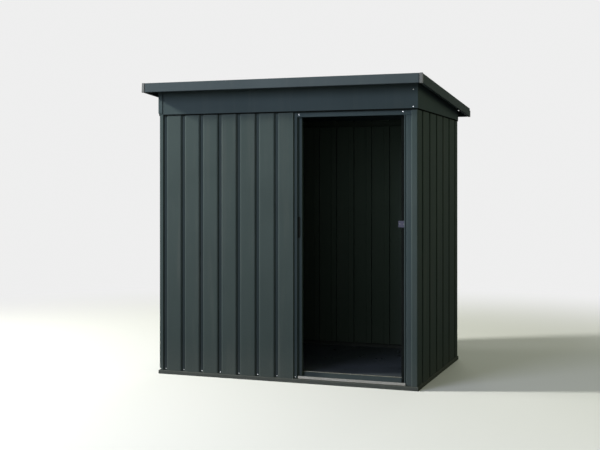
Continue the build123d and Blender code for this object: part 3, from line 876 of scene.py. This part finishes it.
@dataclass
class Scatter:
    """Points on one body, each of which gets the shape of a tree."""

    name: str
    finish: Material
    sizes: dict[str, float]
    seed: int = 4
    slot: Dressing = Dressing.BARE
    body: Body = Body.SHED
    places: list[tuple[Vector, Vector]] = field(default_factory=list)

    def put(self, place: Vector, facing: Vector) -> None:
        """Add one shape at a place, facing outward."""
        self.places.append((place, facing))

    def put_on_wall(self, side: Side, along: float, inward: float, height: float) -> None:
        """Add one shape on a wall."""
        self.put(wall_point(side, along, inward, height), wall_facing(side))

    def build(self, tree: Tree) -> Object:
        """Make the shapes as one plain mesh that rides on its body.

        Args:
            tree: The tree of the shape.

        Returns:
            The finished piece.
        """
        points = bpy.data.meshes.new(self.name + "_points")
        points.from_pydata([tuple(place) for place, _ in self.places], [], [])
        facing = points.attributes.new("facing", "FLOAT_VECTOR", "POINT")
        for i, (_, direction) in enumerate(self.places):
            facing.data[i].vector = direction
        source = placed(self.name + "_points", points)
        modifier = source.modifiers.new("shapes", "NODES")
        modifier.node_group = tree
        values = {**self.sizes, "Seed": self.seed, "Finish": self.finish}
        for item in tree.interface.items_tree:
            if item.in_out == "INPUT" and item.name in values:
                modifier[item.identifier] = values[item.name]
        mesh = bpy.data.meshes.new_from_object(source.evaluated_get(bpy.context.evaluated_depsgraph_get()))
        mesh.name = self.name
        source.modifiers.clear()
        bpy.data.objects.remove(source)
        return seated(mesh, self.name, self.body)


@dataclass(frozen=True)
class Profile:
    """Closed outline of a strip, with soft corners, that is run along a straight line."""

    corners: tuple[tuple[float, float], ...]
    radius: float
    steps: int = 3
    corner_share: float = 0.45

    @classmethod
    def block(cls, first: tuple[float, float], second: tuple[float, float], *softness: float) -> "Profile":
        """Return a rectangle between two numbers each way."""
        (left, right), (low, high) = first, second
        return cls(((left, low), (right, low), (right, high), (left, high)), *softness)

    def outline(self) -> list[tuple[float, float]]:
        """Curve the outline at its corners.

        Returns:
            The outline's points.
        """
        points = [Vector(corner) for corner in self.corners]
        line = []
        for i, corner in enumerate(points):
            before, after = points[i - 1] - corner, points[(i + 1) % len(points)] - corner
            start, end = (corner + way.normalized() * min(self.radius, way.length * self.corner_share)
                          for way in (before, after))
            for step in range(self.steps + 1):
                t = step / self.steps
                line.append(tuple(start * (1 - t) ** 2 + corner * 2 * t * (1 - t) + end * t * t))
        return line

    def run(self, mesh: bmesh.types.BMesh, start: Vector, end: Vector,
            first: Vector, second: Vector) -> None:
        """Add the strip between two points to a mesh.

        Args:
            mesh: The mesh that it is added to.
            start: Where the outline's origin starts.
            end: Where it ends.
            first: Direction of the outline's first numbers.
            second: Direction of its second numbers.
        """
        line = self.outline()
        near, far = ([mesh.verts.new(at + first * a + second * b) for a, b in line] for at in (start, end))
        for i in range(len(line)):
            j = (i + 1) % len(line)
            mesh.faces.new((near[i], near[j], far[j], far[i]))
        mesh.faces.new(near[::-1])
        mesh.faces.new(far)


@dataclass
class StripSet:
    """Strips of one finish on the shed, gathered into one mesh."""

    name: str
    finish: Material
    slot: Dressing = Dressing.BLACK
    crease: float = math.radians(40)
    mesh: bmesh.types.BMesh = field(default_factory=bmesh.new)

    def build(self) -> Object:
        """Finish the mesh, with its faces outward and its bends smooth.

        Returns:
            The finished piece.
        """
        bmesh.ops.recalc_face_normals(self.mesh, faces=self.mesh.faces[:])
        mesh = bpy.data.meshes.new(self.name)
        self.mesh.to_mesh(mesh)
        self.mesh.free()
        mesh.polygons.foreach_set("use_smooth", [True] * len(mesh.polygons))
        mesh.set_sharp_from_angle(angle=self.crease)
        mesh.materials.append(self.finish)
        return seated(mesh, self.name, Body.SHED)


@dataclass
class Assembly:
    """A group of pieces that the dressing adds to the shed."""

    finishes: Finishes

    def build(self) -> list[Object]:
        """Build the pieces and return them."""
        raise NotImplementedError


@dataclass
class HeaderSeals(Assembly):
    """Black foam strips under the folded feet of the headers."""

    drop: float = 0.0085
    proud: float = 0.0035
    play: float = 0.0005
    soft: float = 0.0012

    def build(self) -> list[Object]:
        """Run a strip below each header.

        Returns:
            The seals.
        """
        strips = StripSet("header_seals", self.finishes.rubber)
        profile = Profile.block((-self.proud, -self.play), (0, -self.drop), self.soft)
        starts = {Side.FRONT: low_of("header_front").x - PLAN.left, Side.BACK: -self.proud}
        for side in Side:
            over = self.proud if side in starts else 0.0
            near = wall_point(side, starts.get(side, 0.0), 0, PLAN.header_foot)
            far = wall_point(side, wall_length(side) + over, 0, PLAN.header_foot)
            profile.run(strips.mesh, near, far, -wall_facing(side), UP)
        return [strips.build()]


@dataclass
class CornerSeals(Assembly):
    """Black foam tape inside the joints between the wall sheets and the corner posts."""

    half_width: float = 0.012
    thick: float = 0.0025
    depth: float = 0.0015
    end_gap: float = 0.004
    soft: float = 0.0008

    def build(self) -> list[Object]:
        """Run a strip of tape up each joint of the side and back walls.

        Returns:
            The seals.
        """
        strips = StripSet("corner_seals", self.finishes.rubber)
        across, inward = (-self.half_width, self.half_width), (self.depth, self.depth + self.thick)
        profile = Profile.block(across, inward, self.soft)
        flange = PLAN.back - low_of("corner_post_back_left").y
        ends = PLAN.base_ledge + self.end_gap, PLAN.header_foot - self.end_gap
        for side in (Side.RIGHT, Side.BACK, Side.LEFT):
            for along in (flange, wall_length(side) - flange):
                near, far = (wall_point(side, along, 0, height) for height in ends)
                profile.run(strips.mesh, near, far, wall_run(side), -wall_facing(side))
        return [strips.build()]


@dataclass
class FloorNosing(Assembly):
    """Bright nosing that ramps from the bottom track's rear lip down to the floor."""

    rise: float = 0.0040
    ramp: float = 0.0305
    before: float = 0.0013
    shelf: float = 0.0105
    flat: float = 0.0120
    edge: float = 0.0012
    play: float = 0.0002
    end_gap: float = 0.003
    screw_pitch: float = 0.28

    def build(self) -> list[Object]:
        """Build the nosing and its screws.

        Returns:
            The nosing and the screws.
        """
        floor_low, floor_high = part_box("floor_panels")
        lip = high_of("door_bottom_track").z
        foot, seat, top = floor_high.z + self.play, lip + self.play, lip + self.rise
        profile = Profile((
            (-self.before, seat), (-self.before, top), (self.flat, top), (self.ramp, foot + self.edge),
            (self.ramp, foot), (self.shelf, foot), (self.shelf, seat)), self.edge)
        strips = StripSet("floor_nosing", self.finishes.nosing, Dressing.BARE)
        near = Vector((floor_low.x + self.end_gap, floor_low.y, 0))
        far = Vector((floor_high.x - self.end_gap, floor_low.y, 0))
        profile.run(strips.mesh, near, far, BACKWARD, UP)
        screws = Scatter("nosing_screws", self.finishes.screw, FLUSH_SCREW, 3)
        count = int((far.x - near.x) / self.screw_pitch)
        for i in range(count):
            x = near.x + (far.x - near.x) * (i + 0.5) / count
            screws.put(Vector((x, floor_low.y + self.flat / 2, top)), UP)
        return [strips.build(), screws.build(ScrewTree("flush_heads").build())]


@dataclass
class JambBrush(Assembly):
    """Brush seal behind the edge of the door jamb, in its folded holder."""

    reach: float = 0.019
    hold: float = 0.008
    play: float = 0.0003
    thick: float = 0.0015
    lip: float = 0.0045
    lip_depth: float = 0.0036
    soft: float = 0.0005
    end_gap: float = 0.003
    pitch: float = 0.0013
    margin: float = 0.001
    root: tuple[float, float] = (0.0008, 0.0021)
    bristle: float = 0.0065
    bristle_radius: float = 0.00045
    facing: Point = (-0.94, 0.34, 0)

    def build(self) -> list[Object]:
        """Build the brush above and below the lock keeper.

        Returns:
            The holder and its bristles.
        """
        low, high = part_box("door_jamb")
        face, edge, hold = high.y + self.play, low.x - self.reach, low.x + self.hold
        holder = StripSet("brush_holder", self.finishes.rubber, Dressing.COAT)
        profile = Profile((
            (edge, face), (hold, face), (hold, face + self.thick), (edge + self.lip, face + self.thick),
            (edge + self.lip, face + self.lip_depth), (edge, face + self.lip_depth)), self.soft)
        sizes = {"Length": self.bristle, "Radius": self.bristle_radius}
        hairs = Scatter("brush_bristles", self.finishes.rubber, sizes, 11, Dressing.BLACK)
        facing = Vector(self.facing).normalized()
        keeper_low, keeper_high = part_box("lock_keeper")
        for foot, head in ((low.z, keeper_low.z), (keeper_high.z, high.z)):
            foot, head = foot + self.end_gap, head - self.end_gap
            profile.run(holder.mesh, UP * foot, UP * head, RIGHTWARD, BACKWARD)
            for i in range(int((head - foot - 2 * self.margin) / self.pitch)):
                height = foot + self.margin + i * self.pitch
                hairs.put(Vector((edge + self.root[0], face + self.root[1], height)), facing)
        return [holder.build(), hairs.build(BristleTree().build())]


@dataclass
class TrackBuffers(Assembly):
    """Rubber stops in the bottom track, where the leaf ends its travel either way."""

    length: float = 0.018
    gap: float = 0.0055
    half_width: float = 0.0150
    track_sheet: float = 0.0015
    foot_clear: float = 0.0003
    height: float = 0.031
    soft: float = 0.004
    soft_steps: int = 4

    def build(self) -> list[Object]:
        """Build both stops and the screws that hold them.

        Returns:
            The stops and the screws.
        """
        tail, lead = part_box("door_stile_trailing"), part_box("door_stile_leading")
        travel = frame["joints"][0]["range_m"][1]
        middle = (lead[0].y + lead[1].y) / 2
        foot = low_of("threshold_strip").z + self.track_sheet + self.foot_clear
        stops = StripSet("track_buffers", self.finishes.rubber)
        screws = Scatter("buffer_screws", self.finishes.screw, SMALL_SCREW, 5)
        across = (-self.half_width, self.half_width)
        profile = Profile.block(across, (foot, foot + self.height), self.soft, self.soft_steps)
        for start in (tail[0].x - self.gap - self.length, lead[1].x + travel + self.gap):
            near = Vector((start, middle, 0))
            far = near + RIGHTWARD * self.length
            profile.run(stops.mesh, near, far, BACKWARD, UP)
            screws.put((near + far) / 2 + UP * (foot + self.height), UP)
        return [stops.build(), screws.build(ScrewTree("stop_heads").build())]


@dataclass
class RoofSeams(Assembly):
    """Beads of sealant along the joints between the roof sheets."""

    half_width: float = 0.0022
    clear: float = 0.00005
    height: float = 0.0014
    soft: float = 0.0012
    rib_height: float = 0.014
    end_gap: float = 0.008

    def build(self) -> list[Object]:
        """Run a bead down each joint.

        Returns:
            The beads.
        """
        beads = StripSet("roof_seams", self.finishes.black)
        profile = Profile.block((-self.half_width, self.half_width), (self.clear, self.height), self.soft)
        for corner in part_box("roof_sheet_middle"):
            near = roof_point(corner.x, self.end_gap, -self.rib_height)
            far = roof_point(corner.x, PLAN.roof_run - self.end_gap, -self.rib_height)
            profile.run(beads.mesh, near, far, RIGHTWARD, ROOF_FACING)
        return [beads.build()]


def row(start: float, pitch: float, count: int) -> tuple[float, ...]:
    """Return evenly spaced places."""
    return tuple(start + pitch * i for i in range(count))


@dataclass
class WallScrews(Assembly):
    """The screws that hold the wall sheets, the door frame and the header."""

    above_ledge: float = 0.010
    front_grooves: tuple[float, ...] = row(0.0425, 0.1369, 7)
    side_grooves: tuple[float, ...] = row(0.152, 0.207, 6)
    back_grooves: tuple[float, ...] = row(0.1178, 0.1416, 12)
    post_inset: float = 0.009
    stile_inset: float = 0.0115
    rail_place: tuple[float, float] = (0.0127, 0.035)
    jamb_place: tuple[float, float] = (-0.0085, 0.031)
    header_inset: float = 0.025
    header_rows: tuple[float, ...] = (0.011, 0.119)

    def build(self) -> list[Object]:
        """Screw the sheets to the base rails, the frame's corners and the front header's end.

        Returns:
            The screws.
        """
        screws = Scatter("wall_screws", self.finishes.screw, SMALL_SCREW)
        height = PLAN.base_ledge + self.above_ledge
        rows = {
            Side.FRONT: self.front_grooves,
            Side.RIGHT: self.side_grooves,
            Side.LEFT: tuple(PLAN.depth - y for y in self.side_grooves),
            Side.BACK: self.back_grooves,
        }
        for side, places in rows.items():
            for along in places:
                screws.put_on_wall(side, along, PLAN.groove_depth, height)
        screws.put_on_wall(Side.FRONT, self.post_inset, 0, height)
        stile = high_of("door_frame_stile").x - PLAN.left - self.stile_inset
        screws.put_on_wall(Side.FRONT, stile, PLAN.frame_face, height)
        rail_low, rail_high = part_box("door_frame_top_rail")
        corners = ((rail_low.x, self.rail_place), (low_of("door_jamb").x, self.jamb_place))
        for x, (inset, drop) in corners:
            screws.put_on_wall(Side.FRONT, x + inset - PLAN.left, PLAN.frame_face, rail_high.z - drop)
        for rise in self.header_rows:
            along = PLAN.width - self.header_inset
            screws.put_on_wall(Side.FRONT, along, PLAN.header_face, PLAN.header_foot + rise)
        return [screws.build(ScrewTree().build())]


@dataclass
class RoofScrews(Assembly):
    """Hexagon screws with sealing washers, where the ribs of the roof cross the beams."""

    ribs_per_sheet: int = 4
    beams: int = 3
    beam_width: float = 0.032
    seal_sides: int = 16

    def build(self) -> list[Object]:
        """Make the screws and their seals.

        Returns:
            The screws and the seals.
        """
        heads = Scatter("roof_screws", self.finishes.fascia, ROOF_SCREW, 9, Dressing.COAT)
        seals = Scatter("roof_washers", self.finishes.rubber, RAISED_SEAL, 9, Dressing.BLACK)
        for place in self.places():
            seals.put(place, ROOF_FACING)
            heads.put(place + ROOF_FACING * RAISED_SEAL["Washer Height"], ROOF_FACING)
        hexes = ScrewTree("hex_heads", head=HeadShape.HEX).build()
        return [heads.build(hexes), seals.build(ScrewTree("seal_rings", sides=self.seal_sides).build())]

    def places(self) -> list[Vector]:
        """Find the crossings of ribs and beams.

        Returns:
            Their places on the ribs' tops.
        """
        sheet = low_of("roof_sheet_right").x - low_of("roof_sheet_middle").x
        pitch = sheet / self.ribs_per_sheet
        ribs = round((high_of("roof_sheet_right").x - low_of("roof_sheet_left").x) / pitch)
        low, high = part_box("roof_beams")
        first, step = low.y + self.beam_width / 2, (high.y - low.y - self.beam_width) / (self.beams - 1)
        behind = [first + i * step - PLAN.roof_front for i in range(self.beams)]
        downs = [distance / math.cos(PLAN.roof_slope) for distance in behind]
        return [roof_point(pitch * (i + 0.5 - ribs / 2), down) for down in downs for i in range(ribs)]


@dataclass
class FloorScrews(Assembly):
    """Countersunk screws that hold the floor panels to the joists."""

    panels: int = 3
    joists: int = 5
    joist_half: float = 0.020
    edge: float = 0.022
    behind_nosing: float = 0.018

    def build(self) -> list[Object]:
        """Make the screws along each joist.

        Returns:
            The screws.
        """
        screws = Scatter("floor_screws", self.finishes.dark_screw, FLUSH_SCREW, 7)
        low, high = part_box("floor_panels")
        step = (high.x - low.x - 2 * self.joist_half) / (self.joists - 1)
        panel = (high.y - low.y) / self.panels
        for i in range(self.joists):
            x = low.x + self.joist_half + i * step
            for j in range(self.panels):
                first = self.edge + (self.behind_nosing if j == 0 else 0.0)
                for part in (first, panel / 2, panel - self.edge):
                    screws.put(Vector((x, low.y + j * panel + part, high.z)), UP)
        return [screws.build(ScrewTree("floor_heads").build())]


@dataclass
class DoorScrews(Assembly):
    """Screws of the lock keeper and of the door's hangers."""

    keeper_plate: float = 0.002
    keeper_places: tuple[float, ...] = (0.010, 0.036)
    hanger_inset: float = 0.110
    hanger_half: float = 0.027
    hanger_foot: float = 0.003

    def build(self) -> list[Object]:
        """Make the screws of the keeper and of the hangers.

        Returns:
            The keeper's screws, and the hangers' screws, which move with the door.
        """
        tree = ScrewTree("door_heads").build()
        keeper = Scatter("keeper_screws", self.finishes.dark_screw, FLUSH_SCREW, 2)
        low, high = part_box("lock_keeper")
        for inset in self.keeper_places:
            place = Vector((low.x + inset, high.y - self.keeper_plate, (low.z + high.z) / 2))
            keeper.put(place, wall_facing(Side.FRONT))
        hangers = Scatter("hanger_screws", self.finishes.screw, HANGER_SCREW, 6, body=Body.DOOR)
        tail, lead = low_of("door_stile_trailing"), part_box("door_stile_leading")
        middle = (lead[0].y + lead[1].y) / 2
        foot = low_of("door_hangers").z + self.hanger_foot
        for x in (tail.x + self.hanger_inset, lead[1].x - self.hanger_inset):
            for side in (-self.hanger_half, self.hanger_half):
                hangers.put(Vector((x + side, middle, foot)), UP)
        return [keeper.build(tree), hangers.build(tree)]


@dataclass
class CarriedPieces:
    """The pieces that come from the construction, each with its finish."""

    finishes: Finishes

    def dress_all(self, nodes: dict[str, Object]) -> None:
        """Give every carried-over piece its finish.

        Args:
            nodes: The pieces by name.
        """
        for name, obj in nodes.items():
            dress(obj, self.finishes.for_node(name))
            log.info("dressed %s", name)


@dataclass(frozen=True)
class Lamp:
    """A soft square lamp that points at the shed's middle."""

    name: str
    place: Point
    power: float
    size: float
    colour: Colour
    aim: Point = (0.0, 0.0, 1.0)

    def build(self) -> None:
        """Hang the lamp and light it."""
        light = bpy.data.lights.new(self.name, "AREA")
        light.energy = self.power
        light.size = self.size
        light.color = self.colour
        obj = placed(self.name, light)
        obj.location = self.place
        obj.rotation_euler = (Vector(self.aim) - Vector(self.place)).to_track_quat("-Z", "Y").to_euler()


@dataclass
class Stage:
    """Pale floor, soft studio light and the camera."""

    floor_size: float = 60.0
    floor_colour: Colour = (0.64, 0.64, 0.66)
    floor_bounce: Colour = (0.12, 0.12, 0.12)
    floor_roughness: float = 0.9
    background: Colour = (0.86, 0.86, 0.86)
    fade_start: float = 2.2
    fade_end: float = 6.0
    ambient: Colour = (0.94, 1.0, 0.90)
    ambient_strength: float = 0.10
    lens: float = 61.87
    sensor: float = 36.0
    clip_end: float = 200.0
    camera_place: Point = (2.4342, -7.0088, 1.2948)
    camera_turn: float = 19.954
    camera_shift: float = -0.06485
    lamps: tuple[Lamp, ...] = (
        Lamp("key_light", (-7.2, -3.3, 5.4), 1188.0, 0.8, (1.0, 1.0, 0.86)),
        Lamp("rim_light", (-9.0, -1.7, 1.8), 380.0, 1.5, (1.0, 1.0, 0.92)),
        Lamp("front_light", (-3.2, -7.6, 3.8), 410.0, 3.5, (0.78, 0.82, 1.0)),
        Lamp("door_light", (0.6, -8.0, 2.2), 90.0, 5.0, (0.85, 0.95, 0.95)),
        Lamp("side_light", (8.5, -2.5, 4.5), 215.0, 5.0, (0.95, 1.0, 0.62)),
        Lamp("back_light", (-0.5, 9.0, 5.0), 330.0, 5.0, (0.95, 1.0, 0.80)),
    )

    def build(self) -> None:
        """Set the floor, the world, the lamps and the camera."""
        self.floor()
        self.world()
        for lamp in self.lamps:
            lamp.build()
        self.camera()
        bpy.context.scene.view_settings.view_transform = "Standard"

    def seen(self, graph: Graph) -> Node:
        """Find the rays that show the background: the eye's, and those of metal and glass.

        Args:
            graph: The graph of the floor or of the world.

        Returns:
            A node that gives 1 for those rays.
        """
        path = graph.add("ShaderNodeLightPath").outputs
        direct = graph.math("MAXIMUM", path["Is Camera Ray"], path["Is Transmission Ray"])
        return graph.math("MAXIMUM", direct, path["Is Glossy Ray"])

    def floor(self) -> None:
        """Lay the pale floor, which fades into the background far away."""
        half = self.floor_size / 2
        mesh = bpy.data.meshes.new("studio_floor")
        corners = [(-half, -half, 0), (half, -half, 0), (half, half, 0), (-half, half, 0)]
        mesh.from_pydata(corners, [], [(0, 1, 2, 3)])
        obj = placed("studio_floor", mesh)
        material, graph, shader, place = open_material("studio_floor")
        seen = self.seen(graph)
        away = graph.add("ShaderNodeVectorMath", {0: place}, operation="LENGTH").outputs["Value"]
        far = graph.math("MULTIPLY", graph.fit(away, self.fade_start, self.fade_end), seen)
        near = graph.mix(seen, self.floor_bounce, self.floor_colour)
        graph.feed(shader, {
            "Base Color": graph.mix(far, near, (0.0, 0.0, 0.0)),
            "Emission Strength": far,
            "Emission Color": self.background,
            "Roughness": self.floor_roughness,
            "Specular IOR Level": 0.0,
        })
        dress(obj, material)

    def world(self) -> None:
        """Light the scene softly, with a pale background for the eye and for reflections."""
        world = bpy.data.worlds.new("studio")
        bpy.context.scene.world = world
        world.use_nodes = True
        world.node_tree.nodes.clear()
        graph = Graph(world.node_tree)
        dim = graph.add("ShaderNodeBackground", {"Color": self.ambient, "Strength": self.ambient_strength})
        pale = graph.add("ShaderNodeBackground", {"Color": self.background, "Strength": 1.0})
        mix = graph.add("ShaderNodeMixShader", {0: self.seen(graph), 1: dim, 2: pale})
        graph.add("ShaderNodeOutputWorld", {"Surface": mix})

    def camera(self) -> None:
        """Set the camera at the photograph's place and angle."""
        data = bpy.data.cameras.new("camera")
        data.lens = self.lens
        data.sensor_width = self.sensor
        data.shift_y = self.camera_shift
        data.clip_end = self.clip_end
        obj = placed("camera", data)
        obj.location = self.camera_place
        obj.rotation_euler = (math.pi / 2, 0, math.radians(self.camera_turn))
        bpy.context.scene.camera = obj


def main() -> None:
    """Build the dressing in order and report each piece."""
    logging.basicConfig(level=logging.INFO, format="%(name)s: %(message)s")
    finishes = Finishes()
    CarriedPieces(finishes).dress_all(frame["nodes"])
    assemblies = (HeaderSeals, CornerSeals, FloorNosing, JambBrush, TrackBuffers, RoofSeams, WallScrews,
                  RoofScrews, FloorScrews, DoorScrews)
    for assembly in assemblies:
        for piece in assembly(finishes).build():
            log.info("built %s with %d faces", piece.name, len(piece.data.polygons))
    Stage().build()


if __name__ == "__main__":
    main()
